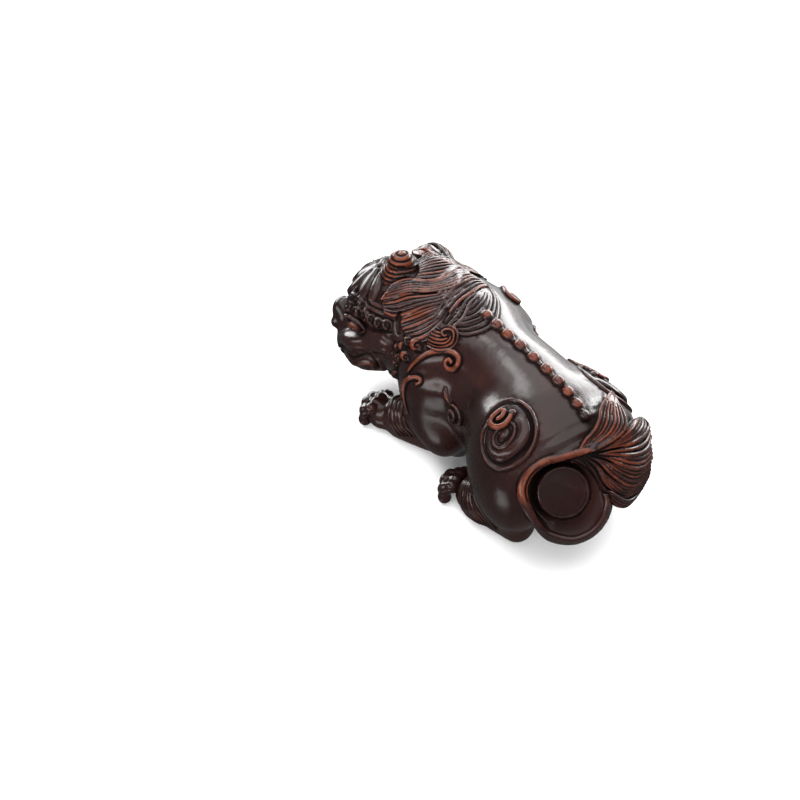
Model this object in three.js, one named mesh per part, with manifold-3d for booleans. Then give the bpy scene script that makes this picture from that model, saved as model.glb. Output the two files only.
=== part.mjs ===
// A lying pixiu, cast in one piece, with its head turned to its left.
// It lies along Y with its head towards -Y. Its left side is +X. It stands on z = 0.
import * as THREE from "three";
import { mergeVertices } from "three/addons/utils/BufferGeometryUtils.js";
import Module from "manifold-3d";

const wasm = await Module();
wasm.setup();

// Overall sizes of the finished figure, in mm
const LENGTH = 130;
const WIDTH = 58;
const HEIGHT = 65;

// Sizes of the carving, in mm, before the figure is brought to its overall sizes
const BEAD_COUNT = 10; // along the spine
const BEAD_RADIUS = 2.3;
const CURL_RADIUS = 1.3; // thickness of the raised curls
const ROPE_RADIUS = 2.1; // thickness of the tail where it is a rope
const COIL_RADIUS = 13.2; // from the middle of the coiled tail to the rope's own middle
const DISC_RADIUS = 8.6; // the smooth disc inside the coil
const FAN_STRANDS = 13; // ribs of the tail's tuft
const HORN_LENGTH = 9;
const HORN_RADIUS = 7.5; // at its foot
const TOES = 4; // on each foot
const TOE_DEPTH = 0.13; // of the lobes between them, as a share of the foot
const LOCK_WIDTH = 5.2; // half the width of a lock of the mane
const LOCK_PROUD = 1.2; // height of its middle over the skin
const EYE_RADIUS = 1.9;
const RING_RADIUS = 8.3; // the engraved ring on each haunch
const GROOVE_RADIUS = 0.8; // half the width of that ring's groove

// The line along the body that the carving is measured round
const AXIS_HEIGHT = 32;
const AXIS_RADIUS = 25;

// The body, from the chest to the rump: y, z of the widest line, half-width there, height above, depth below
const BODY = [
  [-38, 30, 13, 14, 26],
  [-28, 34, 19, 19, 32],
  [-14, 36, 22, 21.5, 37],
  [2, 36, 19, 21.5, 37],
  [16, 36, 20, 21.5, 37],
  [32, 34, 22, 22, 35.5],
  [40, 33, 20, 20, 34],
  [43.5, 31, 16, 17, 31],
];
const BELLY_TUCK = 0.25; // share by which the body narrows towards its underside

// The head's centre and how far it is turned and bent down, in degrees
const HEAD_CENTRE = new THREE.Vector3(7, -39.5, 37);
const HEAD_TURN = 36;
const HEAD_BEND = 6;

const degrees = THREE.MathUtils.degToRad;
const vector = (x, y, z) => new THREE.Vector3(x, y, z);
const UP = vector(0, 0, 1);

// Solids: closed meshes that are joined and cut

function toSolid(geometry) {
  const bare = geometry.index ? geometry.toNonIndexed() : geometry.clone();
  bare.deleteAttribute("normal");
  bare.deleteAttribute("uv");
  const welded = mergeVertices(bare, 1e-4);
  const corners = new Float32Array(welded.attributes.position.array);
  const make = (triVerts) =>
    new wasm.Manifold(new wasm.Mesh({ numProp: 3, vertProperties: corners, triVerts }));
  const faces = new Uint32Array(welded.index.array);
  const solid = make(faces);
  return solid.volume() < 0 ? make(faces.reverse()) : solid;
}

function toGeometry(solid) {
  const { vertProperties, triVerts } = solid.getMesh();
  const geometry = new THREE.BufferGeometry();
  geometry.setAttribute("position", new THREE.BufferAttribute(vertProperties, 3));
  geometry.setIndex(new THREE.BufferAttribute(triVerts, 1));
  geometry.computeVertexNormals();
  return geometry;
}

const join = (solids) => solids.reduce((whole, solid) => whole.add(solid));

// Numbers on a smooth curve through rows of numbers, at share from 0 to 1.
function between(rows, share) {
  const last = rows.length - 1;
  const place = Math.min(share * last, last - 1e-9);
  const i = Math.floor(place);
  const f = place - i;
  const row = (k) => rows[THREE.MathUtils.clamp(k, 0, last)];
  return rows[i].map((_, n) => {
    const [a, b, c, d] = [row(i - 1)[n], row(i)[n], row(i + 1)[n], row(i + 2)[n]];
    return b + 0.5 * f * (c - a + f * (2 * a - 5 * b + 4 * c - d + f * (3 * (b - c) + d - a)));
  });
}

// A closed skin over rings of points, with a flat fan at each end.
function loft(rings) {
  const sides = rings[0].length;
  const middle = (ring) => ring.reduce((sum, p) => sum.add(p), vector(0, 0, 0)).divideScalar(sides);
  const points = [...rings.flat(), middle(rings[0]), middle(rings.at(-1))];
  const first = rings.length * sides;
  const index = [];
  for (let k = 0; k < sides; k++) {
    const next = (k + 1) % sides;
    for (let r = 0; r < rings.length - 1; r++) {
      const [a, b, c, d] = [r * sides + k, r * sides + next, (r + 1) * sides + k, (r + 1) * sides + next];
      index.push(a, b, d, a, d, c);
    }
    const end = first - sides;
    index.push(first, next, k, first + 1, end + k, end + next);
  }
  return toSolid(new THREE.BufferGeometry().setFromPoints(points).setIndex(index));
}

// A rod along a smooth course. Each row is x, y, z, half-width, height above and, if it differs, the
// depth below. lift gives the direction of its height at a point. Rounded ends take caps rings each.
// tuck narrows its underside, and scallop gives the depth of the lobes round it at a share of its
// length, as a share of its size.
function rod(rows, { sides = 6, steps = 10, caps = 1, lift = () => UP, tuck = 0, scallop = () => 0 } = {}) {
  const full = rows.map((row) => (row.length < 6 ? [...row, row[4]] : row));
  const stations = [];
  for (let i = 0; i <= steps; i++) stations.push({ share: i / steps, size: 1, shift: 0 });
  for (let i = 1; i <= caps; i++) {
    const angle = ((i / (caps + 0.35)) * Math.PI) / 2;
    const end = { size: Math.cos(angle), shift: Math.sin(angle) };
    stations.unshift({ share: 0, size: end.size, shift: -end.shift });
    stations.push({ share: 1, size: end.size, shift: end.shift });
  }
  const at = (share) => vector(...between(full, THREE.MathUtils.clamp(share, 0, 1)));
  const rings = stations.map(({ share, size, shift }) => {
    const [x, y, z, wide, above, below] = between(full, share);
    const along = at(share + 0.01).sub(at(share - 0.01)).normalize();
    const place = vector(x, y, z).addScaledVector(along, shift * Math.min(wide, above));
    const up = lift(vector(x, y, z));
    up.addScaledVector(along, -up.dot(along)).normalize();
    const side = along.clone().cross(up);
    return Array.from({ length: sides }, (_, k) => {
      const angle = (2 * Math.PI * k) / sides;
      const rise = Math.sin(angle);
      const lobe = 1 + (k % 2 ? scallop(share) : -scallop(share));
      const high = lobe * size * rise * (rise > 0 ? above : below);
      const out = lobe * size * wide * Math.cos(angle) * (1 - tuck * Math.min(rise, 0) ** 2);
      return place.clone().addScaledVector(side, out).addScaledVector(up, high);
    });
  });
  return loft(rings);
}

// An oval lump with its three half-sizes, turned about Z and then bent about X.
function lump(centre, [a, b, c], { turn = 0, bend = 0, around = 16, frame = null } = {}) {
  const geometry = new THREE.SphereGeometry(1, around, Math.round(around * 0.6));
  geometry.scale(a, b, c);
  geometry.applyMatrix4(
    new THREE.Matrix4().makeRotationFromEuler(new THREE.Euler(degrees(bend), 0, degrees(turn), "ZXY")),
  );
  geometry.translate(...centre);
  return toSolid(frame ? geometry.applyMatrix4(frame) : geometry);
}

const bothSides = (make) => [1, -1].flatMap(make);

// The head's own frame: x to its left, y towards its nape, z up
const headFrame = new THREE.Matrix4()
  .makeRotationFromEuler(new THREE.Euler(degrees(HEAD_BEND), 0, degrees(HEAD_TURN), "ZXY"))
  .setPosition(HEAD_CENTRE);
const inHead = (x, y, z) => vector(x, y, z).applyMatrix4(headFrame);
const headRow = ([x, y, z, ...sizes]) => [...inHead(x, y, z).toArray(), ...sizes];
const headLump = (centre, sizes, options = {}) => lump(centre, sizes, { ...options, frame: headFrame });

// The great masses, which the carving then lies on

function trunk() {
  const rows = BODY.map(([y, z, wide, above, below]) => [0, y, z, wide, above, below]);
  return rod(rows, { sides: 16, steps: 7, caps: 2, tuck: BELLY_TUCK });
}

function quarters(side) {
  return [
    lump([side * 15.5, 32, 29], [13, 19, 23], { around: 12 }),
    lump([side * 14.5, -13, 29], [10.5, 13, 18], { bend: -15, around: 10 }),
    lump([side * 12.5, -7.5, 19], [8, 7.5, 13], { around: 8 }),
  ];
}

// A leg from its elbow or heel to its toes, which are lobes round its front end
function legs(side) {
  const foreleg = [
    [side * 8.5, -8, 9, 5.5, 8],
    [side * 13.5, -15, 7.5, 5.5, 7.5],
    [side * 18.5, -27, 6, 5.4, 6.4],
    [side * 21.5, -35, 5.4, 6.4, 6.2],
    [side * 22.6, -38.6, 4.8, 5.4, 5],
  ];
  const hindFoot = [
    [side * 14, 36, 7, 6, 7],
    [side * 16, 26, 6, 6, 6],
    [side * 18, 17, 5.4, 5.4, 5.8],
    [side * 19.8, 10.5, 5, 5.8, 5.6],
    [side * 20.8, 8, 4.4, 4.8, 4.6],
  ];
  const scallop = (share) => TOE_DEPTH * THREE.MathUtils.smoothstep(share, 0.45, 0.8);
  return [foreleg, hindFoot].map((rows) => rod(rows, { sides: TOES * 4, steps: 5, scallop }));
}

function neckAndSkull() {
  const neck = [
    [-1, -20, 37, 21, 20],
    [2, -30, 38, 20.5, 20],
    [6, -38, 37, 18, 18],
  ];
  return [
    rod(neck, { sides: 12, steps: 2, caps: 1 }),
    headLump([0, 3, 2], [20, 19, 18.5], { around: 14 }),
    headLump([0, -9, 9.5], [11, 9, 7.5], { around: 10 }),
    headLump([0, -18, -7], [10.5, 8.5, 8.5], { around: 10 }),
    headLump([0, -25, -2.5], [5.5, 4.5, 5.5], { around: 8 }),
    headLump([0, -13.5, -16.5], [9, 10.5, 6], { around: 10 }),
    ...bothSides((side) => [
      headLump([side * 7.5, -13.5, 7], [8, 6, 5], { around: 8 }),
      headLump([side * 10, -12, -8], [7, 8, 8], { around: 8 }),
    ]),
  ];
}

const masses = join([
  trunk(),
  ...bothSides((side) => [...quarters(side), ...legs(side)]),
  ...neckAndSkull(),
]);

// Places on the masses, found by a ray from outside

const skin = new THREE.Mesh(toGeometry(masses));
const caster = new THREE.Raycaster();
const FAR_OUT = 80;

function settle(centre, out, proud) {
  caster.set(centre.clone().addScaledVector(out, FAR_OUT), out.clone().negate());
  const [hit] = caster.intersectObject(skin);
  return (hit ? hit.point : centre.clone()).addScaledVector(out, proud);
}

// The skin at y along the body and rise mm round it from its side.
function onBody([y, rise], side, proud = 0) {
  const angle = rise / AXIS_RADIUS;
  return settle(vector(0, y, AXIS_HEIGHT), vector(side * Math.cos(angle), 0, Math.sin(angle)), proud);
}

// The skin of the head, in degrees round it from the nose to its left, and up from its middle.
function onHead([round, up], side = 1, proud = 0) {
  const [a, b] = [degrees(round) * side, degrees(up)];
  const ahead = inHead(Math.sin(a) * Math.cos(b), -Math.cos(a) * Math.cos(b), Math.sin(b));
  return settle(HEAD_CENTRE, ahead.sub(HEAD_CENTRE), proud);
}

const awayFromBody = (p) => vector(p.x, 0, p.z - AXIS_HEIGHT).normalize();
const awayFromHead = (p) => p.clone().sub(HEAD_CENTRE).normalize();

// A spiral's points about a centre, from one radius and angle to another.
function spiral([u, v], [from, to], [start, sweep], count) {
  return Array.from({ length: count + 1 }, (_, i) => {
    const share = i / count;
    const radius = THREE.MathUtils.lerp(from, to, share);
    const angle = degrees(start + sweep * share);
    return [u + radius * Math.cos(angle), v + radius * Math.sin(angle)];
  });
}

// A raised curl on the body: its course is a list of [y, rise], and it thins towards its ends.
function curl(course, side, radius = CURL_RADIUS) {
  const rows = course.map((place, i) => {
    const share = i / (course.length - 1);
    const thick = radius * (0.6 + 0.5 * Math.sin(Math.PI * Math.min(1, 0.15 + share)));
    return [...onBody(place, side, 0.45 * radius).toArray(), thick, thick];
  });
  return rod(rows, { sides: 4, steps: course.length - 1, lift: awayFromBody });
}

function spine() {
  const [first, last] = [-3, 46];
  return Array.from({ length: BEAD_COUNT }, (_, i) => {
    const y = THREE.MathUtils.lerp(first, last, i / (BEAD_COUNT - 1));
    const place = onBody([y, (AXIS_RADIUS * Math.PI) / 2], 1, 0.2 * BEAD_RADIUS);
    return lump(place.toArray(), [BEAD_RADIUS * 1.1, BEAD_RADIUS, BEAD_RADIUS], { around: 6 });
  });
}

// The ring round the top of each haunch is a groove, cut by a rod that stands out of the skin.
function haunchRing(side) {
  const course = spiral([37.5, 17], [RING_RADIUS, RING_RADIUS], [60, -330], 12);
  const [depth, proud] = [GROOVE_RADIUS, 2.5 * GROOVE_RADIUS];
  const rows = course.map((place) => [...onBody(place, side).toArray(), GROOVE_RADIUS, proud, depth]);
  return rod(rows, { sides: 4, steps: 12, lift: awayFromBody });
}

function bodyCurls(side) {
  const shoulder = [[-14, 3], [-13.8, 9.5], [-12, 15.2], [-7.5, 20.4]];
  const breast = [[-12.2, 0], [-12.6, 4.5]];
  const elbow = [[1, 6.5]];
  return [
    curl([...shoulder, ...spiral([-0.3, 21], [3.4, 1.6], [120, -320], 5)], side),
    curl([...breast, ...spiral([-9.6, 6.2], [2.2, 1.2], [150, -250], 4)], side),
    curl([...elbow, ...spiral([8.6, 3.2], [3.4, 1.6], [150, -320], 5)], side),
    curl(spiral([32, 20.6], [2.7, 1.2], [-20, 320], 5), side),
  ];
}

// The head's carving

function horn() {
  const foot = 16;
  const rows = [0, 0.35, 0.7, 1].map((share) => {
    const wide = THREE.MathUtils.lerp(HORN_RADIUS, 3.6, share ** 0.8);
    return headRow([0, -2 + 1.5 * share, foot + HORN_LENGTH * share, wide, wide]);
  });
  return [
    rod(rows, { sides: 10, steps: 4, lift: () => vector(0, -1, 0) }),
    headLump([0, -0.5, foot + HORN_LENGTH - 0.5], [4.1, 4.1, 3.2], { around: 9 }),
  ];
}

function face(side) {
  const brow = [[26, 25], [38, 33], [52, 37], [68, 37], [84, 33]].map((where, i) => {
    const thick = 2.5 - 0.15 * i;
    return [...onHead(where, side, -0.3).toArray(), thick, thick];
  });
  const beard = [[108, 17], [106, 4], [102, -9]].map((where) =>
    lump(onHead(where, side, 0.5).toArray(), [3.6, 3.6, 3.6], { around: 7 }),
  );
  const eyePlace = onHead([48, 15], side, -0.2).toArray();
  const eye = lump(eyePlace, [EYE_RADIUS, EYE_RADIUS, EYE_RADIUS], { around: 8 });
  const lip = [[30, -22], [42, -18], [54, -15], [63, -18], [68, -25], [66, -33]].map((where) => [
    ...onHead(where, side, 0.2).toArray(),
    1.1,
    1.1,
  ]);
  const nostril = headLump([side * 4.2, -26, -4], [2.2, 2.2, 2], { around: 6 });
  return [
    rod(brow, { sides: 6, steps: 5, lift: awayFromHead }),
    ...beard,
    eye,
    nostril,
    rod(lip, { sides: 4, steps: 5, lift: awayFromHead }),
  ];
}

// A lock of the mane from one place on the head to another, with a wave in it, thin at its tip.
function lock([round, up], [tipRound, tipUp], wave, wide, side) {
  const rows = [0, 0.2, 0.4, 0.6, 0.8, 1].map((share) => {
    const swing = wave * Math.sin(2 * Math.PI * share);
    const where = [
      THREE.MathUtils.lerp(round, tipRound, share),
      THREE.MathUtils.lerp(up, tipUp, share) + swing,
    ];
    const width = wide * (0.45 + 0.75 * Math.sin(Math.PI * (0.12 + 0.8 * share)));
    const [above, below] = [0.6 * width, 0.6 * width + 2 * LOCK_PROUD];
    return [...onHead(where, side, LOCK_PROUD).toArray(), width, above, below];
  });
  return rod(rows, { sides: 5, steps: 5, lift: awayFromHead });
}

function mane(side) {
  const rows = 4;
  const locks = Array.from({ length: rows }, (_, i) => {
    const share = i / (rows - 1);
    const start = [THREE.MathUtils.lerp(80, 104, share), THREE.MathUtils.lerp(64, 27, share)];
    const tip = [THREE.MathUtils.lerp(174, 142, share), THREE.MathUtils.lerp(44, 20, share)];
    return lock(start, tip, 5, LOCK_WIDTH, side);
  });
  const ear = spiral([133, 21], [9, 3], [200, -360], 7).map((where, i) => {
    const thick = 2.2 - 0.12 * i;
    return [...onHead(where, side, 0.4).toArray(), thick, thick];
  });
  const earTip = [
    headRow([side * 14, 4, 14, 4, 2.4]),
    headRow([side * 16, 7, 17.5, 3, 1.8]),
    headRow([side * 17, 10, 19.5, 0.8, 0.6]),
  ];
  return [
    ...locks,
    rod(ear, { sides: 4, steps: 7, lift: awayFromHead }),
    rod(earTip, { sides: 6, steps: 2, lift: () => vector(0, 1, 0) }),
  ];
}

// The tail: it leaves the rump under its tuft, coils once on the rump's left and bursts into the tuft

const COIL_CENTRE = vector(10.7, 56.1, 33.2);
const COIL_FACE = vector(0.38, 0.72, 0.58).normalize(); // the way the coil faces
const coilRight = UP.clone().cross(COIL_FACE).normalize();
const coilUp = COIL_FACE.clone().cross(coilRight);
// A point of the coil, by its radius and angle in its own plane and its height over that plane.
function inCoil(radius, angle, height = 0) {
  return COIL_CENTRE.clone()
    .addScaledVector(coilRight, radius * Math.cos(degrees(angle)))
    .addScaledVector(coilUp, radius * Math.sin(degrees(angle)))
    .addScaledVector(COIL_FACE, height);
}
const FAN_ROOT = vector(0.5, 54.5, 46.5);

function coil() {
  // angle, radius, half-width, half-thickness and height over the coil's plane
  const stages = [
    [60, 10, 3, 3, -2.6],
    [10, 10.6, 3.4, 3.2, -2],
    [-45, 11, 3.4, 3.2, -1.5],
    [-100, 11.8, 3, 3, -1],
    [-150, COIL_RADIUS - 0.4, ROPE_RADIUS * 1.15, ROPE_RADIUS * 1.1, 0],
    [-200, COIL_RADIUS, ROPE_RADIUS, ROPE_RADIUS, 0.5],
    [-240, COIL_RADIUS - 0.6, ROPE_RADIUS, ROPE_RADIUS, 0.8],
    [-275, COIL_RADIUS + 0.2, ROPE_RADIUS, ROPE_RADIUS, 1],
  ];
  const rows = stages.map(([angle, radius, wide, thick, height]) => [
    ...inCoil(radius, angle, height).toArray(),
    wide,
    thick,
  ]);
  rows.push([...FAN_ROOT.toArray(), ROPE_RADIUS * 1.1, ROPE_RADIUS]);
  // A drum under the rope, with a groove round the domed disc in its middle: radius, height over the plane
  const profile = [
    [0, -18],
    [COIL_RADIUS - 5, -18],
    [COIL_RADIUS + 0.6, -5],
    [COIL_RADIUS, -1.5],
    [DISC_RADIUS + 0.8, -2],
    [DISC_RADIUS, 0],
    [DISC_RADIUS * 0.6, 1.4],
    [0, 2],
  ];
  const drum = new THREE.LatheGeometry(profile.map((point) => new THREE.Vector2(...point)), 16);
  const across = coilRight.clone().cross(COIL_FACE);
  drum.applyMatrix4(new THREE.Matrix4().makeBasis(coilRight, COIL_FACE, across).setPosition(COIL_CENTRE));
  return [rod(rows, { sides: 6, steps: 18, lift: () => COIL_FACE.clone() }), toSolid(drum)];
}

// The tuft: a thick leaf that spreads from the rope's end over the right of the rump, ribbed by strands
function fan() {
  // The edge where the strands end, from the tip that points forward to the lowest one
  const edge = [
    [-16.5, 38, 50],
    [-18.5, 43.5, 46.5],
    [-20.5, 48, 42],
    [-21, 51, 36.5],
    [-19, 54.5, 31.5],
    [-14, 58, 27],
    [-7, 60, 24.5],
  ];
  const out = vector(-0.35, 0.55, 0.75).normalize(); // away from the rump, in the middle of the tuft
  const [bulge, thick, groove] = [4.5, 7, 0.9];
  const across = 2 * FAN_STRANDS;
  const rings = Array.from({ length: 7 }, (_, i) => {
    const along = THREE.MathUtils.lerp(0.06, 1, i / 6);
    const place = (share, height) => {
      const tip = vector(...between(edge, share));
      const reach = FAN_ROOT.clone().lerp(tip, along);
      return reach.addScaledVector(out, height);
    };
    const arch = bulge * Math.sin(Math.PI * along * 0.85);
    const top = Array.from({ length: across + 1 }, (_, k) =>
      place(k / across, arch + (k % 2 ? groove : -groove) * Math.min(1, 2 * along)),
    );
    const depth = thick * Math.min(1, 3 * along) * (along > 0.95 ? 0.45 : 1);
    const under = [1, 0.75, 0.5, 0.25, 0].map((share) => place(share, arch - depth));
    return [...top, ...under];
  });
  return [loft(rings)];
}

// The figure

const underside = toSolid(new THREE.BoxGeometry(400, 400, 60).translate(0, 0, -30));
const carved = join([
  masses,
  ...bothSides((side) => [...bodyCurls(side), ...face(side), ...mane(side)]),
  ...spine(),
  ...horn(),
  ...coil(),
  ...fan(),
]).subtract(join([underside, ...bothSides(haunchRing)]));

const lacquer = new THREE.MeshStandardMaterial({ color: 0x3a2622, roughness: 0.38, metalness: 0 });
const geometry = toGeometry(carved);
geometry.computeBoundingBox();
const size = geometry.boundingBox.getSize(vector(0, 0, 0));
const centre = geometry.boundingBox.getCenter(vector(0, 0, 0));
geometry.translate(-centre.x, -centre.y, 0);
geometry.scale(WIDTH / size.x, LENGTH / size.y, HEIGHT / size.z);
const pixiu = new THREE.Mesh(geometry, lacquer);
pixiu.name = "pixiu";

const group = new THREE.Group();
group.add(pixiu);
export default group;
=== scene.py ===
"""A lying pixiu, cast in one piece: its skin, its rubbed lacquer, a pale floor and soft studio light.

The skin is worked as clay in a distance field, in millimetres (head towards -Y, its left towards +X,
standing on z = 0), and is then brought into the box of the frame's pixiu node.
"""
import math

import bpy
import numpy as np
from mathutils import Matrix, Vector


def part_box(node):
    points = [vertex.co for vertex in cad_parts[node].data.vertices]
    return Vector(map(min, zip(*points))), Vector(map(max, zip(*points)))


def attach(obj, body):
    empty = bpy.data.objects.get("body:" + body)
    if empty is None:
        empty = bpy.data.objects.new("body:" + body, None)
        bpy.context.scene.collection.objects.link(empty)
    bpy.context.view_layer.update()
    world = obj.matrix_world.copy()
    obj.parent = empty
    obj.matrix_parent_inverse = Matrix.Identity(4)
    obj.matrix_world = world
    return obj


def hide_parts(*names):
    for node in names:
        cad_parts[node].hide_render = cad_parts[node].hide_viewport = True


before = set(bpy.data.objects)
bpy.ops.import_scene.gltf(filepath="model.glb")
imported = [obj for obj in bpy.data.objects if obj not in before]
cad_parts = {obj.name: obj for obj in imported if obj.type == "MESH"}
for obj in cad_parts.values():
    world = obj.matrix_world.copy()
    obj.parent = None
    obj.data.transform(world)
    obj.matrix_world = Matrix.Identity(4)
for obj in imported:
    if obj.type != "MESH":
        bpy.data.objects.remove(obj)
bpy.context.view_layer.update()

# The clay's own box in mm, and the node's size in metres that it is brought to
DESIGN_MIDDLE = np.array([0.533, 0.540, 0.0])
DESIGN_SIZE = np.array([58.27, 130.51, 65.19])
NODE_SIZE = np.ptp(np.array(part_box("pixiu")), axis=0)

GRID = 0.3  # mm between the clay's samples
COARSE = 3  # times GRID, for the masses
MOST_TRIANGLES = 192000
FAR = 40  # mm, the distance kept where no clay is near
RAY_LENGTH, RAY_STEP = 75, 0.25  # of the places tried on a ray from inside the figure
SEED = 7  # of the uneven strands

BEND_REACH = 0.45  # mm, over which the skin's bend is felt
FULL_CREST = 1.1  # per mm, the bend of a crest that counts in full
HAND_GAP = 1.8  # mm out of the skin, where low places are told from raised ones

BEAD_RADIUS = 2.0
STRAND_RADII = (0.22, 0.8)  # the finest and the widest strand of hair
HEAD_CENTRE = np.array([7.0, -39.5, 37.0])
HEAD_TURN = 36  # degrees to its left
HEAD_BEND = 6  # degrees down
HEAD_RADIUS = 20
HEAD_REACH = 30  # further from the head's middle than this is the back or a shoulder
AXIS_HEIGHT = 32  # of the line along the body that the carving is measured round
AXIS_RADIUS = 25


def unit(v):
    v = np.asarray(v, float)
    return v / np.maximum(np.linalg.norm(v, axis=-1, keepdims=True), 1e-9)


def turned(yaw=0.0, pitch=0.0):
    """A rotation about Z, then about X, in degrees."""
    a, b = math.radians(yaw), math.radians(pitch)
    about_z = np.array([[math.cos(a), -math.sin(a), 0], [math.sin(a), math.cos(a), 0], [0, 0, 1]])
    about_x = np.array([[1, 0, 0], [0, math.cos(b), -math.sin(b)], [0, math.sin(b), math.cos(b)]])
    return about_z @ about_x


def spline(rows, steps):
    """A smooth curve through rows of numbers, with steps rows from each to the next."""
    rows = np.asarray(rows, float)
    ends = np.vstack([2 * rows[0] - rows[1], rows, 2 * rows[-1] - rows[-2]])
    t = np.linspace(0, 1, steps, endpoint=False)[:, None]
    parts = []
    for a, b, c, d in zip(ends, ends[1:], ends[2:], ends[3:]):
        parts.append(b + 0.5 * t * (c - a + t * (2 * a - 5 * b + 4 * c - d + t * (3 * (b - c) + d - a))))
    return np.vstack([*parts, rows[-1:]])


def oval(u, v, w, a, b, c):
    """About the distance to an oval, for places along its three axes and its radii."""
    near = np.sqrt((u / a)**2 + (v / b)**2 + (w / c)**2)
    slope = np.sqrt((u / a**2)**2 + (v / b**2)**2 + (w / c**2)**2)
    return near * (near - 1) / np.maximum(slope, 1e-6)


class Clay:
    """A distance field in mm that shapes are joined to and cut from, and how rubbed the lacquer is there."""

    def __init__(self, low, high, step):
        self.low = np.array(low, float)
        self.step = step
        count = np.ceil((np.array(high, float) - self.low) / step).astype(int) + 1
        self.high = self.low + step * (count - 1)
        self.field = np.full(count, FAR, np.float32)
        self.rub = np.zeros(count, np.float32)

    def finer(self, times):
        """The same clay on a grid that is finer by a whole number, with its creases a little eased."""
        fine = Clay(self.low, self.high, self.step / times)
        f = self.field
        for axis in range(3):
            old, new = self.field.shape[axis], fine.field.shape[axis]
            place = np.arange(new) / times
            first = np.minimum(np.floor(place).astype(int), old - 2)
            u = place - first
            weights = np.zeros((new, old), np.float32)
            cubic = ((1 - u)**3 / 6, (3 * u**3 - 6 * u**2 + 4) / 6,
                     (1 + 3 * u + 3 * u**2 - 3 * u**3) / 6, u**3 / 6)
            for k, share in enumerate(cubic):
                np.add.at(weights, (np.arange(new), np.clip(first + k - 1, 0, old - 1)), share)
            f = np.moveaxis(np.tensordot(weights, f, (1, axis)), 0, axis)
        fine.field = np.ascontiguousarray(f, np.float32)
        return fine

    def region(self, low, high):
        """The part of the grid that holds a box, and its coordinates."""
        top = np.array(self.field.shape)
        i = np.clip(np.floor((np.asarray(low) - self.low) / self.step).astype(int), 0, top - 1)
        j = np.clip(np.ceil((np.asarray(high) - self.low) / self.step).astype(int) + 1, 1, top)
        j = np.maximum(j, i + 1)
        x, y, z = ((self.low[k] + self.step * np.arange(i[k], j[k])).astype(np.float32) for k in range(3))
        box = tuple(slice(a, b) for a, b in zip(i, j))
        return box, (x[:, None, None], y[None, :, None], z[None, None, :])

    def join(self, box, d, soft, rub):
        """Adds a shape with a seam that is soft over that many mm."""
        f = self.field[box]
        share = np.clip(0.5 + (f - d) / (2 * max(soft, self.step)), 0, 1)
        self.rub[box] += (share * (rub - self.rub[box])).astype(np.float32)
        blend = np.maximum(soft - np.abs(f - d), 0) / max(soft, 1e-6)
        self.field[box] = np.minimum(f, d) - blend**2 * soft / 4

    def cut(self, box, d, soft):
        """Takes a shape away, with an edge that is soft over that many mm."""
        f = self.field[box]
        blend = np.maximum(soft - np.abs(f + d), 0) / max(soft, 1e-6)
        self.field[box] = np.maximum(f, -d) + blend**2 * soft / 4

    def put(self, box, d, soft, rub, carve=False):
        """Joins a shape or, to carve, cuts it."""
        d = d.astype(np.float32)
        if carve:
            self.cut(box, d, soft)
        else:
            self.join(box, d, soft, rub)

    def lump(self, centre, radii, rotation=None, soft=0.4, rub=0.0, carve=False):
        """An oval lump."""
        centre, radii = np.asarray(centre, float), np.broadcast_to(radii, 3)
        reach = radii.max() + soft + 3 * self.step
        box, grid = self.region(centre - reach, centre + reach)
        x, y, z = (g - c for g, c in zip(grid, centre))
        if rotation is not None:
            x, y, z = (rotation[0, k] * x + rotation[1, k] * y + rotation[2, k] * z for k in range(3))
        self.put(box, oval(x, y, z, *radii), soft, rub, carve)

    def near(self, curve, reach):
        """The box and grid round a curve, and there the distance to the curve and the place along it."""
        box, grid = self.region(curve.min(0) - reach, curve.max(0) + reach)
        shape = tuple(s.stop - s.start for s in box)
        best = np.full(shape, 1e9, np.float32)
        along = np.zeros(shape, np.float32)
        for i, (a, b) in enumerate(zip(curve, curve[1:])):
            sub, (x, y, z) = self.region(np.minimum(a, b) - reach, np.maximum(a, b) + reach)
            local = tuple(slice(s.start - t.start, s.stop - t.start) for s, t in zip(sub, box))
            ab = (b - a).astype(np.float32)
            x, y, z = x - np.float32(a[0]), y - np.float32(a[1]), z - np.float32(a[2])
            t = np.clip((x * ab[0] + y * ab[1] + z * ab[2]) / max(float(ab @ ab), 1e-9), 0, 1)
            q = (x - t * ab[0])**2 + (y - t * ab[1])**2 + (z - t * ab[2])**2
            take = q < best[local]
            best[local] = np.where(take, q, best[local])
            along[local] = np.where(take, i + t, along[local])
        return box, grid, np.sqrt(best), along

    def tube(self, points, radii, steps=5, soft=0.3, rub=0.0, carve=False):
        """A round rod along a curve, with a radius and rub at each of its points."""
        sizes = [np.broadcast_to(values, len(points)) for values in (radii, rub)]
        curve = spline(np.column_stack([points, *sizes]), steps)
        box, _, distance, along = self.near(curve[:, :3], curve[:, 3].max() + soft + 3 * self.step)
        radius, rub = (np.interp(along, np.arange(len(curve)), curve[:, i]) for i in (3, 4))
        self.put(box, distance - radius, soft, rub, carve)

    def ribbon(self, points, wide, tall, deep, outs, steps=5, soft=0.3, rub=0.0, tuck=0.0):
        """A flattened rod: its half-width, height and depth at each point, and the way its top faces."""
        count = len(points)
        outs = np.broadcast_to(outs, (count, 3))
        sizes = [np.broadcast_to(s, count) for s in (wide, tall, deep)]
        curve = spline(np.column_stack([points, *sizes, outs]), steps)
        box, grid, _, along = self.near(curve[:, :3], curve[:, 3:6].max() + soft + 3 * self.step)
        tangent = unit(np.gradient(curve[:, :3], axis=0))
        side = unit(np.cross(tangent, curve[:, 6:]))
        high = np.cross(side, tangent)
        row = np.arange(len(curve))

        def at(values):
            return np.interp(along, row, values).astype(np.float32)

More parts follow.
